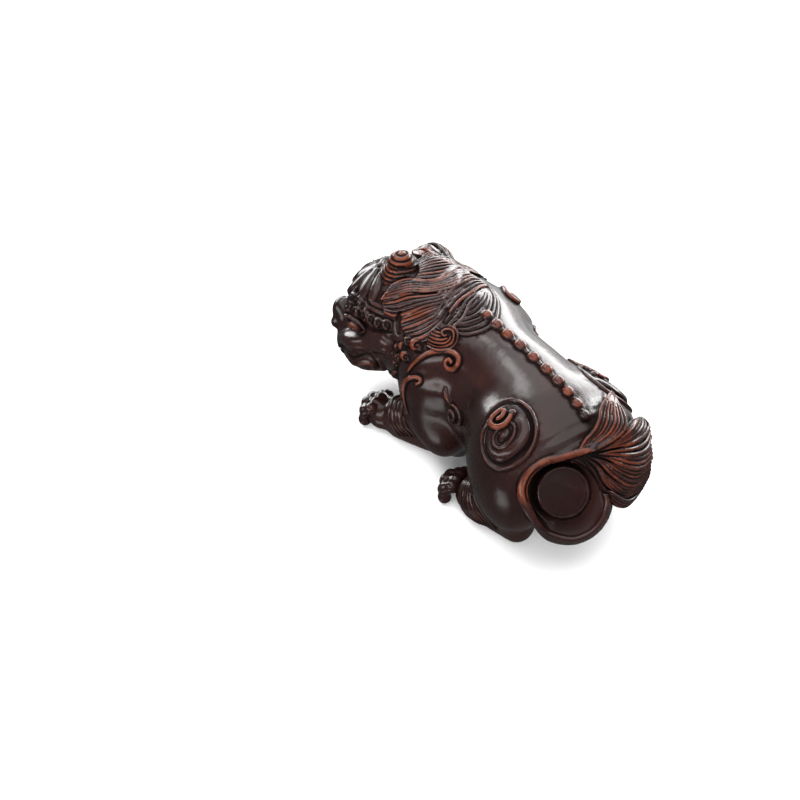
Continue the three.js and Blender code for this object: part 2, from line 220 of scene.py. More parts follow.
        d = [g - at(curve[:, k]) for k, g in enumerate(grid)]
        u, v, w = (sum(d[k] * at(axis[:, k]) for k in range(3)) for axis in (side, high, tangent))
        a, b = at(curve[:, 3]), np.where(v > 0, at(curve[:, 4]), at(curve[:, 5]))
        c = np.minimum(a, at(curve[:, 4]))
        if tuck:
            a = a * (1 - tuck * np.clip(-v / b, 0, 1)**2)
        self.put(box, oval(u, v, w, a, b, c), soft, rub)

    def sample(self, values, points):
        """The grid's values at any points."""
        q = (np.atleast_2d(points) - self.low) / self.step
        i = np.clip(np.floor(q).astype(int), 0, np.array(values.shape) - 2)
        t = np.clip(q - i, 0, 1)
        total = np.zeros(len(q))
        for corner in np.ndindex(2, 2, 2):
            share = np.prod(np.where(corner, t, 1 - t), axis=1)
            total += share * values[tuple((i + corner).T)]
        return total

    def settle(self, centre, out):
        """The outermost point of the skin on the ray from centre towards out."""
        places = np.arange(RAY_LENGTH, 0, -RAY_STEP)
        points = np.asarray(centre) + places[:, None] * out
        inside = np.all((points > self.low) & (points < self.high), axis=1)
        f = np.where(inside, self.sample(self.field, points), FAR)
        hit = max(int(np.argmax(f < 0)), 1)
        t = f[hit - 1] / max(f[hit - 1] - f[hit], 1e-6)
        return points[hit - 1] * (1 - t) + points[hit] * t

    def way_out(self, points, share=0.6):
        """The way out of the skin at any points, felt over a share of the grid's step."""
        steps = np.eye(3) * (share * self.step)
        rise = [self.sample(self.field, points + s) - self.sample(self.field, points - s) for s in steps]
        return unit(np.column_stack(rise))

    def press(self, points):
        """The points moved straight to the nearest skin."""
        for _ in range(4):
            depth = np.clip(self.sample(self.field, points), -2, 2)
            points = points - self.way_out(points, 1) * depth[:, None]
        return points


def skin_mesh(field, low, step):
    """Vertices and quads of the surface where the field crosses zero."""
    inside = field < 0
    n = np.array(field.shape) - 1
    count = np.zeros(n, np.uint8)
    for c in np.ndindex(2, 2, 2):
        count += inside[c[0]:c[0] + n[0], c[1]:c[1] + n[1], c[2]:c[2] + n[2]]
    cells = np.argwhere((count > 0) & (count < 8))
    index = np.full(n, -1, np.int64)
    index[tuple(cells.T)] = np.arange(len(cells))
    value = {c: field[tuple((cells + c).T)].astype(float) for c in np.ndindex(2, 2, 2)}
    total, hits = np.zeros((len(cells), 3)), np.zeros(len(cells))
    for c in np.ndindex(2, 2, 2):
        for axis in range(3):
            if c[axis]:
                continue
            fa, fb = value[c], value[tuple(c[k] + (k == axis) for k in range(3))]
            crossing = (fa < 0) != (fb < 0)
            point = np.tile(np.array(c, float), (len(cells), 1))
            point[:, axis] += np.where(crossing, fa / np.where(crossing, fa - fb, 1), 0)
            total += point * crossing[:, None]
            hits += crossing
    vertices = low + step * (cells + total / hits[:, None])
    quads = []
    for axis in range(3):
        a, b = (inside.take(range(k, field.shape[axis] - 1 + k), axis) for k in (0, 1))
        where = np.argwhere(a != b)
        one, two = (k for k in range(3) if k != axis)
        keep = (where[:, one] > 0) & (where[:, two] > 0)
        keep &= (where[:, one] < n[one]) & (where[:, two] < n[two])
        where = where[keep]
        solid = inside[tuple(where.T)]
        ring = []
        for du, dv in ((1, 1), (0, 1), (0, 0), (1, 0)):
            cell = where.copy()
            cell[:, one] -= du
            cell[:, two] -= dv
            ring.append(index[tuple(cell.T)])
        quad = np.stack(ring, 1)
        flip = solid if axis != 1 else ~solid
        quad[flip] = quad[flip][:, ::-1]
        quads.append(quad)
    return vertices, np.vstack(quads)


HEAD = turned(HEAD_TURN, HEAD_BEND)


def head(p):
    """A point of the head's own frame: x to its left, y towards its nape, z up."""
    return HEAD_CENTRE + HEAD @ np.asarray(p, float)


def masses(step):
    """The great masses, before any carving."""
    c = Clay((-36, -76, -3), (38, 72, 72), step)
    up = (0, 0, 1)
    # The body from chest to rump: y and z of its widest line, half-width there, height above, depth below
    body = [(-38, 30, 13, 14, 24), (-28, 34, 19, 19, 30), (-14, 36, 22, 21.5, 34), (2, 36, 19, 21.5, 34),
            (16, 36, 20, 21.5, 34), (32, 34, 22, 22, 33), (40, 33, 20, 20, 32), (43.5, 31, 16, 17, 29)]
    y, z, wide, tall, deep = np.array(body, float).T
    c.ribbon(np.column_stack([0 * y, y, z]), wide, tall, deep, up, soft=3, tuck=0.25)
    for s in (1, -1):
        # The right haunch lies a little lower than the left one
        middle, tall = (29, 22.7) if s > 0 else (27.5, 21.5)
        c.lump((s * 15.2, 33, middle), (12.9, 17.8, tall), turned(s * -13), soft=7.5)
        # Shoulder, upper arm, forearm and paw
        c.lump((s * 14.5, -13, 29), (10.5, 13, 18), turned(0, -15), soft=5)
        c.lump((s * 14.2, -6.5, 17), (8.4, 9.4, 12.5), turned(0, -8), soft=2.5)
        c.lump((s * 15, -10.5, 19.5), (9.2, 9.2, 11), soft=2.5)
        c.ribbon([(s * 9, -7, 9), (s * 13.5, -15, 7.5), (s * 18.5, -27, 6.5)], 5.5, (8, 7.5, 6.5), 8, up,
                 soft=2.5)
        c.lump((s * 21, -33.5, 5.6), (6, 6.5, 5.8), turned(s * 20), soft=2)
        c.lump((s * 17.5, -24.5, 9), (6.6, 7, 7.6), turned(s * 20), soft=2)
        # Shank, hind paw and ankle
        c.ribbon([(s * 14, 36, 7), (s * 16, 26, 6), (s * 18, 17, 6)], (6, 6, 5.5), (7, 6, 6), 7, up, soft=3)
        c.lump((s * 19, 12, 5), (5, 5.5, 5.2), turned(s * 25), soft=2)
        c.lump((s * 18.2, 21.5, 8), (6, 8.5, 7), turned(s * -8), soft=2)
    for s in (1, -1):
        # The hollow in front of the hind paw
        c.lump((s * 19, 8.5, 2), (6, 5.5, 9), soft=4, carve=True)
    # Neck and skull
    c.ribbon([(-1, -20, 37), (2, -30, 38), (6, -38, 37)], (21, 20.5, 18), (20, 20, 18), 20, up, soft=6)
    c.lump(head((0, 3, 2)), (20, 19, 18.5), HEAD, soft=5)
    for s in (1, -1):
        # Brow and cheek
        c.lump(head((s * 7.5, -13.5, 7)), (8, 6, 5), HEAD, soft=4)
        c.lump(head((s * 10, -12, -8)), (7, 8, 8), HEAD, soft=4)
    # Forehead, muzzle, nose and jaw
    c.lump(head((0, -9, 9.5)), (11, 9, 7.5), HEAD, soft=5)
    c.lump(head((0, -18, -7)), (10.5, 8.5, 8.5), HEAD, soft=4)
    c.lump(head((0, -24.5, -1.5)), (4.6, 4.0, 5.2), HEAD, soft=3)
    c.lump(head((0, -13.5, -16.5)), (9, 10.5, 6), HEAD, soft=3)
    for s in (1, -1):
        # The lips' sides
        c.lump(head((s * 6.5, -20.3, -9.5)), (4.8, 4.6, 4.6), HEAD, soft=2)
    # The hair behind the horn swells over the right of the nape
    c.lump(head((-12.3, 4.2, 14)), (6, 6.5, 5.6), HEAD, soft=2)
    return c


def between(one, two, count):
    """Evenly spaced courses from one edge to another."""
    one, two = np.array(one), np.array(two)
    return [one + (two - one) * share for share in np.linspace(0, 1, count)]


class Carver:
    """Places carving on the masses, on the left side or mirrored on the right."""

    def __init__(self, bare, clay):
        self.bare, self.clay = bare, clay
        self.random = np.random.default_rng(SEED)

    def settled(self, centres, outs, proud, fresh):
        """The skin's points on the rays from centres towards outs, raised by proud, and outs."""
        skin = self.clay if fresh else self.bare
        points = [skin.settle(centre, out) for centre, out in zip(centres, outs)]
        return np.array(points) + np.broadcast_to(proud, len(outs))[:, None] * outs, outs

    def on_body(self, course, side, proud=0.0, fresh=False):
        """Points at y along the body and rise mm round it from its side, and the way out there."""
        rise = np.array([r for _, r in course]) / AXIS_RADIUS
        outs = np.column_stack([side * np.cos(rise), 0 * rise, np.sin(rise)])
        return self.settled([(0, y, AXIS_HEIGHT) for y, _ in course], outs, proud, fresh)

    def on_head(self, course, side, proud=0.0, fresh=False):
        """Points at degrees round the head from its nose, and up from its middle, and the way out there."""
        a, b = np.radians(np.array(course, float)).T
        outs = np.column_stack([side * np.sin(a) * np.cos(b), -np.cos(a) * np.cos(b), np.sin(b)]) @ HEAD.T
        return self.settled([HEAD_CENTRE] * len(outs), outs, proud, fresh)

    def tube(self, on, course, side, proud, radii, fresh=False, **how):
        """A rod along a course on the head or the body."""
        self.clay.tube(on(course, side, proud, fresh)[0], radii, **how)

    def lump(self, on, place, side, proud, radii, fresh=False, **how):
        """A lump at a place on the head or the body."""
        self.clay.lump(on([place], side, proud, fresh)[0][0], radii, **how)

    def strands(self, courses, outs, lift, rub):
        """A lock of hair: strands laid side by side, which run together at its tip."""
        courses = np.array(courses)
        # A dark gap under the lock's lower edge
        self.clay.tube(courses[-1] + outs[-1] * (lift * 0.5 + 0.1), taper(len(outs[-1]), 0.7, 0.5, 0.9),
                       carve=True)
        gaps = np.linalg.norm(np.diff(courses, axis=0), axis=2)
        for i, (course, out) in enumerate(zip(courses, outs)):
            gap = gaps[min(i, len(gaps) - 1)]
            radius = np.clip(0.53 * gap, *STRAND_RADII)
            self.clay.ribbon(course + out * (lift - 1.05 * radius)[:, None], np.maximum(0.6 * gap, 0.3),
                             0.3 * radius, lift + 1.2, out, soft=0.15, rub=0.03)
            sway = self.random.uniform(-0.2, 0.3) * radius
            radius = radius * self.random.uniform(0.85, 1.08)
            self.clay.tube(course + out * (lift - 0.05 * radius + sway)[:, None], radius, steps=6, soft=0.08,
                           rub=rub * self.random.uniform(0.25, 1.25))


def spiral(centre, radii, angles, count):
    """Places on a spiral round a centre, from one radius and angle to another."""
    share = np.linspace(0, 1, count + 1)
    radius = radii[0] + (radii[1] - radii[0]) * share
    angle = np.radians(angles[0] + (angles[1] - angles[0]) * share)
    across, along = radius * np.cos(angle), radius * np.sin(angle)
    return [(centre[0] + a, centre[1] + b) for a, b in zip(across, along)]


def taper(count, start, end, full=1.0):
    """Sizes along a curl or lock: start and end as shares of the full size in its middle."""
    share = np.linspace(0, 1, count)
    return full * np.interp(share, [0, 0.3, 0.65, 1], [start, 1, 0.95, end])


# Locks of the mane, from the lowest layer to the top one: strands, lift, rub, and their two edges as degrees
# round and up the head
MANE = [
    (4, 0.1, 0.375, [(118, 21), (128, 25), (135, 29), (142, 31), (149, 34), (157, 38)],
     [(122, 20.5), (129, 22.5), (136, 26), (141.5, 29), (147, 33), (154, 37)]),
    (4, 0.1, 0.375, [(143, 27.5), (148, 27), (154, 27), (162, 28), (172, 29.5), (181, 31.5)],
     [(139, 23.5), (144, 22), (151.5, 22), (160, 23), (173, 25.5), (186, 30)]),
    (5, 0.4, 0.5, [(147, 33), (152, 32), (158, 32.5), (165, 33), (173, 33), (182, 32)],
     [(141, 27), (147, 26), (154, 25.5), (162, 26.5), (173, 28.5), (184, 31)]),
    (6, 0.6, 0.5, [(136, 34), (145, 39), (152, 42), (160, 42), (168, 40), (178, 34)],
     [(140, 26), (146, 28), (152, 30.5), (158, 32.5), (167, 32.5), (179, 31)]),
    (6, 1.0, 0.875, [(149, 46), (161, 48), (175, 47), (187, 43), (189, 37.5), (184, 32)],
     [(144, 33), (154, 36), (164, 36), (174, 35), (180, 32.5), (182, 31)]),
    (8, 0.5, 0.75, [(103, 38), (119, 40.5), (131, 41), (140, 40.5), (147.5, 40.5), (153, 39)],
     [(114, 20), (122, 22.5), (130, 26), (137, 30), (144, 34), (151, 38)]),
    (6, 0.9, 0.875, [(79, 51), (99, 57), (118, 59), (137, 54), (152, 49), (163, 46), (190, 41)],
     [(86, 40), (102, 38), (117, 40), (131, 41.5), (144, 40), (156, 39), (188, 39)]),
    (6, 1.3, 0.875, [(86, 64), (109, 69), (136, 66), (155, 57), (170, 53), (188, 49), (201, 42)],
     [(78, 50), (99, 55), (120, 57), (138, 52), (154, 47), (166, 44), (196, 40)]),
    (10, 1.0, 0.75, [(200, 80), (232, 72), (242, 60), (238, 51), (227, 47), (208, 46)],
     [(132, 66), (146, 61), (161, 56), (175, 54), (187, 51), (200, 47)]),
]


def mane(k, side):
    """The mane's wavy locks. The last one sweeps over the nape from the left only."""
    for count, lift, rub, one, two in MANE if side > 0 else MANE[:-1]:
        if side < 0:
            # On the far side the locks stop short of the near side's
            one, two = ([(r if r < 150 else 150 + 0.25 * (r - 150), u) for r, u in c] for c in (one, two))
        points, outs = zip(*(k.on_head(course, side) for course in between(one, two, count)))
        k.strands(points, outs, lift, rub)


# The ear's flat: the way out of it, in the head's axes
EAR_OUT = np.array([0.687, 0.086, 0.722])
# Strands of the ear's comma: places on the flat, radius, height over the skin and rub
EAR = [
    ([(-5.9, -2.6), (-2.6, -3.9), (0.5, -4.0), (3.1, -2.9), (4.5, -0.6), (4.5, 1.9), (3.0, 3.5), (0.9, 4.1),
      (-1.3, 3.4)], 0.5, 0.1, 0.6),
    ([(-5.6, -1.7), (-2.6, -2.8), (0.3, -2.9), (2.5, -1.8), (3.4, 0.2), (3.1, 2.0), (1.7, 3.0), (0.0, 2.8),
      (-0.8, 1.8), (-0.1, 0.7), (0.8, 0.9)], 0.52, 0.3, 1.1),
    ([(-5.4, -0.8), (-2.7, -1.6), (0.0, -1.8), (1.8, -0.8), (2.3, 0.6)], 0.5, 0.3, 1.1),
    ([(-5.0, 0.2), (-2.7, -0.5), (-0.5, -0.7), (1.1, -0.1)], 0.5, 0.3, 1.2),
    ([(-4.4, 1.2), (-2.7, 0.6), (-1.2, 0.4)], 0.5, 0.3, 1.2),
    ([(-3.8, 2.2), (-2.6, 1.7), (-1.4, 1.5)], 0.45, 0.3, 1.0),
    ([(-2.8, 3.2), (-1.8, 2.7)], 0.4, 0.2, 0.9),
]


def ear(k, side):
    """A comma of strands that curls in on itself at the back of the cheek."""
    middle = k.on_head([(133.6, 21.8)], side)[0][0]
    across = unit(np.cross((0, 0, 1), EAR_OUT))
    axes = HEAD @ (np.column_stack([across, np.cross(EAR_OUT, across), EAR_OUT]) * [[side], [1], [1]])
    k.clay.lump(middle - 2.5 * axes[:, 2], (5.6, 4.8, 3.4), axes, soft=1.2, rub=0.7)
    lines = []
    for course, _, proud, _ in EAR:
        starts = [middle + axes @ (a, b, -3) for a, b in course]
        lines.append([k.clay.settle(start, axes[:, 2]) + proud * axes[:, 2] for start in starts])
    for places, (course, size, _, rub) in zip(lines, EAR):
        k.clay.tube(places, taper(len(course), 0.7, 0.7, size), soft=0.08, rub=rub)


WHORL_TURN = 360 * 1.1  # degrees that a whorl's spiral winds


def whorl(k, place, side, size, rub):
    """A small round curl on the head: a knob with a spiral cut into it."""
    points, _ = k.on_head([place], side, -0.35 * size, fresh=True)
    if np.linalg.norm(points[0] - HEAD_CENTRE) > HEAD_REACH:
        return
    k.clay.lump(points[0], size, soft=0.35, rub=rub)
    degrees = math.degrees(size * 0.62 / HEAD_RADIUS)
    start = k.random.uniform(0, 360)
    course = spiral(place, (degrees, degrees * 0.1), (start, start + side * WHORL_TURN), 7)
    k.tube(k.on_head, course, side, 0.05, 0.2 * size, fresh=True, steps=3, soft=0.2, carve=True)


def face(k, side):
    """Brow, eye, lips, nose and beard."""

    def rod(course, proud, radii, **how):
        k.tube(k.on_head, course, side, proud, radii, **how)

    # The curls of the brow
    for place, size, rub in [((34, 33), 2.7, 0.1), ((43, 37.5), 2.6, 0.1), ((53, 37), 2.4, 0.1),
                             ((38.5, 26), 2.0, 0.1), ((47.5, 29.5), 2.6, 0.1), ((58.5, 30), 2.6, 0.1),
                             ((70, 29), 2.6, 0.15), ((81, 28.5), 2.5, 0.2), ((91.5, 29), 2.4, 0.35)]:
        whorl(k, place, side, size, rub)
    # The smooth band over the brow's curls
    for course, size in (([(50, 39.5), (60, 38.5), (70, 38.5), (82, 38), (94, 37), (102, 35)], 1.0),
                         ([(46, 43), (56, 43), (68, 43.5), (82, 43.5), (95, 42), (103, 39.5)], 0.9)):
        rod(course, -0.1, taper(len(course), 0.7, 0.7, size), rub=0.15)
    rod([(107, 42), (105, 36), (103.5, 30), (103, 24)], 0.4, (0.6, 1.1, 1.1, 0.7), soft=0.6, carve=True)
    # The eye under the brow, with its lids
    rod([(38, 20), (47, 20), (56, 19), (68, 19), (84, 22), (96, 23)], 0.3, (0.7, 1.3, 1.4, 1.1, 0.8, 0.5),
        soft=0.4, carve=True)
    k.lump(k.on_head, (47.5, 15), side, -1.2, 2.8, soft=0.15, rub=0.7)
    for course in ([(36.5, 13.5), (41, 19.5), (47.5, 22), (54.5, 20.5), (61, 15.5)],
                   [(38, 11.5), (42.5, 8), (48, 7), (54, 8.4), (60.5, 13)]):
        rod(course, 0.4, taper(len(course), 0.5, 0.5, 0.8), rub=0.2)
    # The roll of the upper lip, its lobe at the cheek, the folds round it, the lips and the nostril
    rod([(24, -15), (33, -11), (44, -8.5), (58, -4.5), (72, 1), (84, 6)],
        (-1.6, -1.5, -1.5, -1.7, -2, -2.2), (2.2, 2.9, 3.0, 3.0, 3.0, 3.0), soft=1.0, rub=0.05)
    k.lump(k.on_head, (90, 9.5), side, -2.0, (4.0, 4.0, 4.2), soft=0.8, rub=0.05)
    rod([(20, -19), (32, -17.5), (46, -14.5), (62, -12), (76, -7), (86, -3)], 0.5,
        (0.5, 0.8, 0.8, 0.8, 0.7, 0.4), soft=0.8, carve=True, fresh=True)
    rod([(88, 19.5), (94, 18), (98.5, 14.5), (99, 10), (96, 5.5)], 0.5, (0.4, 0.7, 0.8, 0.8, 0.5), soft=0.6,
        carve=True, fresh=True)
    rod([(60, -10), (67, -10), (74, -15), (76, -25), (71, -38), (60, -47)], -0.1,
        (0.4, 0.7, 0.9, 0.9, 0.8, 0.5), soft=0.8, rub=0.3, fresh=True)
    rod([(0, -32), (18, -31), (34, -28.5), (48, -26), (58, -24), (64, -27), (60, -38)], -0.1,
        (0.9, 0.9, 0.9, 0.9, 0.9, 0.8, 0.5), soft=0.8, rub=0.5, fresh=True)
    rod([(0, -25), (12, -24.5), (28, -22.5), (40, -19), (48, -19.5), (56, -16), (64, -14.5), (70, -20),
         (68, -32)], 0.1, (0.6, 0.6, 0.6, 0.6, 0.6, 0.6, 0.6, 0.6, 0.4), soft=0.6, carve=True, fresh=True)
    k.clay.lump(head((side * 3.4, -25.6, -4.2)), (2.5, 2.5, 2.3), HEAD, soft=0.8, rub=0.05)
    k.clay.lump(head((side * 3.6, -28.0, -5.0)), (0.9, 1.1, 0.8), HEAD, soft=0.4, carve=True)
    # The curls of the beard
    for place, size, rub in [((103, 12), 1.5, 0.5), ((108, 14), 1.8, 0.9), ((112.6, 19.8), 1.8, 0.3),
                             ((118, 18), 2.3, 1.2), ((109.5, 8.8), 1.9, 1.1), ((114.6, 9.5), 1.6, 0.5),
                             ((119.5, 12), 1.5, 0.5), ((122.5, 21.5), 1.2, 0.8), ((104, 4), 1.7, 0.7),
                             ((111, 3), 1.6, 0.5), ((101, -4), 1.7, 0.5), ((100, -13), 1.7, 0.4),
                             ((97, -22), 1.7, 0.4), ((93, -31), 1.7, 0.4), ((84, -40), 1.7, 0.3)]:
        whorl(k, place, side, size, rub)


def forehead(k):
    """The smooth plates that run from the brow up to the horn."""
    for side in (1, -1):
        for course, wide in (([(0, 34), (1, 42), (0, 50), (-6, 60)], 2.6),
                             ([(19, 33), (18, 40), (12, 50), (2, 60)], 2.7),
                             ([(41, 42), (35, 49), (26, 56), (10, 63)], 3.2),
                             ([(58, 46), (54, 53), (46, 60), (28, 67)], 2.2)):
            points, outs = k.on_head(course, side, -0.2)
            k.clay.ribbon(points, taper(len(course), 0.75, 0.45, wide), 1.7, 3, outs, rub=0.05)
        k.tube(k.on_head, [(29, 36), (27, 43), (20, 51), (5, 60)], side, 0.5, 0.55, soft=0.15, rub=0.1)


def horn(k):
    """A mound of hair wound round the knob of the horn, ring over ring."""
    clay, pitch = k.clay, 1.15
    foot, reach = head((0, -2, 13.2)), 16
    box, grid = clay.region(foot - reach, foot + reach)
    x, y, z = (g - c for g, c in zip(grid, foot))
    x, y, z = (HEAD[0, i] * x + HEAD[1, i] * y + HEAD[2, i] * z for i in range(3))
    y = y - 0.14 * z
    # The mound's radius by height over its foot, and the three strands that wind up it a little unevenly
    radius = np.interp(z, [-3, 0, 2, 4, 6, 8, 9.5, 10.5], [12.4, 11.2, 10.2, 9.0, 7.6, 6.2, 5.0, 4.2])
    turn = np.arctan2(x, -y)
    place = z / pitch + 3 * turn / (2 * math.pi) + 0.35 * np.sin(2 * turn)
    crest = np.sqrt(np.clip(1 - (2 * (place - np.floor(place)) - 1)**2, 0, 1))
    out = np.hypot(x, y)
    d = np.maximum((out - radius) * 0.72, z - 10.0) + 0.5 * (1 - crest)
    clay.put(box, d, 0.25, 0.75 * (0.15 + 0.85 * crest) * np.clip((z + 1) / 8, 0, 1))
    # The knob: a low dome with a groove wound up it
    top, radii = head((0.4, -0.7, 23.2)), (4.3, 4.5, 3.6)
    clay.lump(top, radii, HEAD, soft=0.15, rub=1.1)
    turn = np.linspace(0, 1, 21)
    angle = 0.6 - 2 * math.pi * 2.4 * turn
    lean = np.radians(86 - 76 * turn)
    x, y = radii[0] * np.cos(angle) * np.sin(lean), radii[1] * np.sin(angle) * np.sin(lean)
    places = np.column_stack([x, y, radii[2] * np.cos(lean)]) @ HEAD.T + top
    clay.tube(places, 0.34, steps=4, soft=0.6, carve=True)


def curls(k, side):
    """Raised curls on the shoulder, breast and elbow."""

    def rod(course, proud, radii, **how):
        k.tube(k.on_body, course, side, proud, radii, **how)

    # The trough between the shoulder's curl and the elbow's
    wide = np.array([1.5, 3, 4, 4, 3, 2])
    rod([(-8, 8), (-4.5, 10), (-1, 12), (3, 13.2), (7.4, 14), (11.6, 14.3)], wide - 0.8, wide, soft=4,
        carve=True)
    # On the right the shoulder's curl lies further forward
    shift = 0 if side > 0 else -15
    course = [(-13.4, 7.8), (-12.5, 10.5), (-11, 13.9), (-9.1, 17.3), (-6.6, 20.3), (-3.8, 22.3),
              (-1.1, 23.4), (1.2, 23.1), (2.2, 21.2), (1.0, 18.7), (-1.4, 17.7), (-2.5, 19), (-1.8, 20.6),
              (-0.4, 20.4)]
    rod([(y + shift, rise) for y, rise in course], 0.5, taper(len(course), 0.5, 0.75, 0.98), fresh=True,
        soft=0.2, rub=0.95)
    rod([(-12.5, -9.5), (-13.8, -6), (-14.4, -2.5), (-14.4, 0.5), (-13.8, 3.4), (-12.2, 5.7), (-10.4, 7.2),
         (-8.9, 7.3), (-8.4, 6.2), (-9.1, 5.3)], 0.3, (0.3, 0.5, 0.7, 0.9, 0.9, 0.9, 0.9, 0.9, 0.8, 0.7),
        fresh=True, soft=0.25, rub=0.8)
    rod([(0.2, 9.4), (1.4, 7.4), (3.6, 5.8), (5.4, 4.8)], 0.2, (0.3, 0.6, 0.7, 0.6), fresh=True, soft=0.9,
        rub=0.5)
    elbow = (8.6, 3.6)
    k.lump(k.on_body, elbow, side, -1.7, 4.2, soft=1.2, rub=0.1)
    course = spiral(elbow, (4.1, 1.0), (150, -420), 18)
    rod(course, 0.25, taper(len(course), 0.7, 0.9, 0.72), fresh=True, steps=4, soft=0.15, rub=0.5)
    k.lump(k.on_body, elbow, side, 0.3, 0.7, fresh=True, soft=0.3, carve=True)


def haunch(k, side):
    """A ring with a groove inside it, round a swirl, a drop and a small raised curl."""
    # On the right the tuft leaves less room, so it all lies lower and further forward
    shift, lower = (0, 0) if side > 0 else (-4.5, 4)

    def ridge(course, radius, proud, soft, rub=0.0, carve=False):
        course = [(y + shift, rise - lower) for y, rise in course]
        k.tube(k.on_body, course, side, proud, radius, soft=soft, rub=rub, carve=carve)

    swirl = [(34.8, 22.8), (37.8, 23.1), (40.6, 21.0), (41.9, 17.6), (41.4, 13.9), (39.4, 11.3),
             (36.6, 10.9), (34.2, 12.4), (32.8, 14.8)]
    ridge(swirl, (0.8, 1.8, 2.3, 2.4, 2.4, 2.2, 2.0, 1.6, 0.8), -1.25, 0.9, 0.05)
    lip = [(30.6, 18), (29.4, 15.8), (29.4, 13.6), (30.5, 11.6), (32.3, 9.8), (34.5, 8.3), (36.9, 7.4),
           (39.5, 7.2), (41.8, 7.9), (43.7, 9.6), (45.0, 11.9), (45.7, 14.8), (45.4, 17.9), (44.4, 21.1),
           (42.5, 24.0), (39.9, 26.1), (36.9, 27.3), (34.0, 27.4), (31.2, 26.8), (28.9, 25.4), (27.4, 23.0),
           (26.8, 20), (26.8, 17), (27.4, 14.4), (28.7, 12.4), (30.2, 11)]
    ridge(lip, taper(len(lip), 0.6, 0.4, 0.72), 0.1, 0.45, 0.3)
    groove = [(27.9, 16.4), (27.9, 19.4), (28.4, 22.0), (29.9, 24.4), (32.1, 26.0), (34.8, 26.4),
              (37.4, 26.1), (39.9, 24.9), (41.9, 22.9), (43.5, 20.4), (44.3, 17.7), (44.2, 14.9),
              (43.6, 12.2), (42.1, 9.9), (40.5, 8.9), (38.2, 8.6), (35.8, 9.2), (33.9, 10.3), (32.4, 11.9),
              (31.3, 13.8), (31.0, 15.9)]
    ridge(groove, taper(len(groove), 0.5, 0.5, 0.62), 0.25, 0.25, carve=True)
    drop = [(35.6, 20.6), (37.0, 20.9), (38.5, 20.2), (39.7, 18.7), (40.2, 16.7), (39.9, 14.6),
            (38.6, 13.1), (36.8, 12.9), (35.2, 13.9), (34.5, 15.6), (35.1, 17.1)]
    ridge(drop, taper(len(drop), 0.6, 0.6, 0.62), 0.25, 0.25, 0.15)
    pit = [(36.6, 19.4), (38, 18.7), (38.7, 17.2), (38.6, 15.4), (37.7, 14.3), (36.4, 14.6), (35.9, 15.8)]
    ridge(pit, 0.5, 0.15, 0.2, carve=True)
    k.lump(k.on_body, (37.1 + shift, 16.3 - lower), side, -0.4, 1.0, soft=0.3, rub=0.1)
    k.lump(k.on_body, (33.8 + shift, 22.9 - lower), side, 0, 1.4, soft=0.3, rub=0.3)
    small = [(34.6, 22.1), (35.3, 20.8), (35.4, 19.1), (34.2, 17.4), (31.9, 16.7), (30.4, 17.5),
             (30.2, 19.2), (30.6, 21.2), (31.8, 21.7), (32.7, 20.6), (32.4, 19.0)]
    ridge(small, taper(len(small), 0.75, 0.8, 1.02), 0.6, 0.08, 1.1)
    if side < 0:
        # On the right a strand leads to the small curl
        far = [(21.2, 21.6), (22.8, 20.4), (25.4, 20.0), (28.2, 20.4), (30.2, 20.0)]
        ridge(far, (0.6, 1.0, 1.1, 1.1, 0.9), 0.6, 0.2, 0.9)


# The spine's beads: y and x
BEADS = [(-4.8, -0.2), (0.5, -0.5), (6.5, -0.8), (13, -1.1), (19.8, -1.5), (26.2, -1.9), (32.2, -2.3),
         (37, -2.6), (41.5, -2.8), (45.8, -2.8)]


def spine(k):
    """A row of beads on a low ridge along the back."""
    points = np.array([k.bare.settle((x, y, AXIS_HEIGHT), np.array([0, 0, 1.0])) for y, x in BEADS])
    k.clay.tube(points - (0, 0, 0.2), 1.0, steps=8, soft=0.5, rub=0.15)
    last = len(BEADS) - 1
    for i, point in enumerate(points):
        size = BEAD_RADIUS * np.interp(i, [0, 6, last], [1, 0.95, 0.8])
        k.clay.lump(point + (0, 0, 0.35), (size * 1.05, size * 1.25, size), soft=0.5,
                    rub=0.75 if i < last else 0.1)


# The first and the last strand of fur on the fore and the hind leg
FORE_FUR = np.array([
    [(17.5, -26, 16.5), (20, -27.4, 15.3), (22.4, -25.9, 14), (23.6, -25.1, 12.2), (24, -24, 10.5),
     (23.8, -22.5, 8.4), (22.7, -20.8, 5.4)],
    [(17.5, -20.5, 17.2), (20, -19.8, 16), (21.6, -18.8, 14.4), (22.2, -17.6, 12.6), (22, -16.2, 11),
     (21.4, -14.8, 9.6), (20.5, -13.5, 8.2)],
])
HIND_FUR = np.array([
    [(18.5, 15, 13.5), (21.5, 16.3, 12.8), (23.3, 17.8, 10.3), (23.8, 19.6, 7.5), (23.2, 21.6, 4.5),
     (22, 24, 1.5)],
    [(19.5, 23, 15.5), (22, 24, 14.5), (23.8, 26, 12.8), (24.4, 28.6, 10.6), (24, 31.5, 8),
     (22.5, 34.5, 5)],
])


def toes(k, side, paw, turn, size):
    """Knobbly toes, with a dark gap between each two."""
    way = turned(side * turn)
    for i in range(4):
        share = i / 3 - 0.5
        bow = 1 - 1.5 * share**2
        places = []
        # Down each toe: how far forward and how high from the paw's middle
        for reach, height in ((0.2, 4.2), (3.9, 2.4), (4.7, -1.8)):
            place = np.array([side * share * 2 * size, -reach * bow - 1.2, height - 1.4 * abs(share)])
            places.append(way @ place + paw)
        k.clay.tube(places, 1.9, rub=0.1)
        for place, radius in zip(places, (2.4, 2.6, 2.5)):
            k.clay.lump(place, radius * (1 - 0.15 * abs(share)), soft=0.5, rub=0.1)


